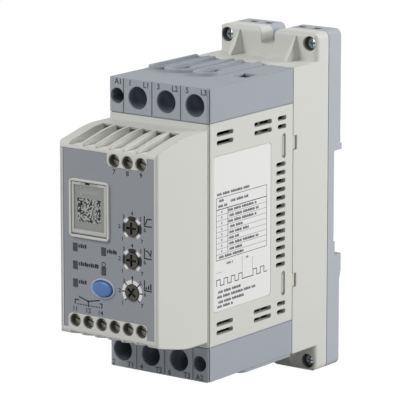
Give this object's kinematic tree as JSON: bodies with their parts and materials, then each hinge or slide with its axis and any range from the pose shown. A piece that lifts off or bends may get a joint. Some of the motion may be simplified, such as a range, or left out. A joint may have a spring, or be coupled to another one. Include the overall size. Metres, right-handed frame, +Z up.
{
  "type": "motor soft starter",
  "caption": "Narrow motor soft starter in a moulded housing with stepped terminal blocks, setting knobs, a reset button, a hinged port door and a rail clip behind.",
  "frame": {"origin": "on the rail seat behind the base plate, at mid width and mid height", "axes": "+X to the right side, +Y to the back, away from the front face, +Z up"},
  "size_m": [0.045, 0.1187, 0.131],
  "materials": {
    "white_plastic": "fine satin texture",
    "grey_plastic": "fine satin texture",
    "label_film": "printed film",
    "paper_label": "printed film",
    "knob_plastic": "satin",
    "blue_plastic": "semi-gloss",
    "clip_plastic": "satin",
    "zinc_steel": "bright zinc plated",
    "spring_steel": "drawn wire",
    "terminal_brass": "plain",
    "bar_copper": "tinned at the ends",
    "sink_aluminium": "extruded",
    "board_laminate": "solder resist",
    "black_moulding": "moulded",
    "winding_tape": "wrapped tape",
    "capacitor_sleeve": "sleeved",
    "light_guide": "smoked clear"
  },
  "bodies": {
    "housing": {"rear_base": "grey_plastic", "rail_clip_spring": "spring_steel", "rear_housing": "white_plastic", "base_screws": "zinc_steel", "main_housing": "white_plastic", "side_label": "paper_label", "upper_terminal_block": "grey_plastic", "lower_terminal_block": "grey_plastic", "front_cover": "white_plastic", "front_label": "label_film", "light_guides": "light_guide", "power_screws": "zinc_steel", "power_clamps": "zinc_steel", "supply_screws": "zinc_steel", "supply_clamps": "zinc_steel", "control_screws": "terminal_brass", "control_clamps": "terminal_brass", "upper_control_strip": "black_moulding", "lower_control_strip": "black_moulding", "line_bars": "bar_copper", "load_bars": "bar_copper", "supply_leads": "bar_copper", "power_board": "board_laminate", "control_board": "board_laminate", "link_board": "board_laminate", "left_thyristor": "black_moulding", "right_thyristor": "black_moulding", "thyristor_screws": "zinc_steel", "heatsink": "sink_aluminium", "left_bypass_relay": "black_moulding", "right_bypass_relay": "black_moulding", "current_transformers": "black_moulding", "supply_transformer": "winding_tape", "filter_capacitors": "capacitor_sleeve", "potentiometers": "blue_plastic", "indicator_lamps": "paper_label", "reset_switch": "black_moulding", "service_socket": "black_moulding"},
    "start_ramp": {"start_ramp_knob": "knob_plastic"},
    "stop_ramp": {"stop_ramp_knob": "knob_plastic"},
    "start_torque": {"start_torque_knob": "knob_plastic"},
    "reset": {"reset_button": "blue_plastic"},
    "door": {"port_door": "label_film"},
    "clip": {"rail_clip": "clip_plastic"}
  },
  "joints": [
    {"name": "start_ramp_turn", "type": "hinge", "parent": "housing", "child": "start_ramp", "pos_m": [0.011, -0.1119, 0.00734], "axis": [0, 1, 0], "range_deg": [-135, 135]},
    {"name": "stop_ramp_turn", "type": "hinge", "parent": "housing", "child": "stop_ramp", "pos_m": [0.011, -0.1119, -0.00444], "axis": [0, 1, 0], "range_deg": [-135, 135]},
    {"name": "start_torque_turn", "type": "hinge", "parent": "housing", "child": "start_torque", "pos_m": [0.011, -0.1119, -0.01622], "axis": [0, 1, 0], "range_deg": [-135, 135]},
    {"name": "reset_press", "type": "slide", "parent": "housing", "child": "reset", "axis": [0, 1, 0], "range_m": [0, 0.0008], "stiffness_N_per_m": 900},
    {"name": "door_open", "type": "hinge", "parent": "housing", "child": "door", "pos_m": [-0.00805, -0.1116, 0.003], "axis": [1, 0, 0], "range_deg": [0, 90]},
    {"name": "clip_pull", "type": "slide", "parent": "housing", "child": "clip", "axis": [0, 0, -1], "range_m": [0, 0.0045], "stiffness_N_per_m": 1200, "deforming": ["rail_clip_spring"]}
  ]
}
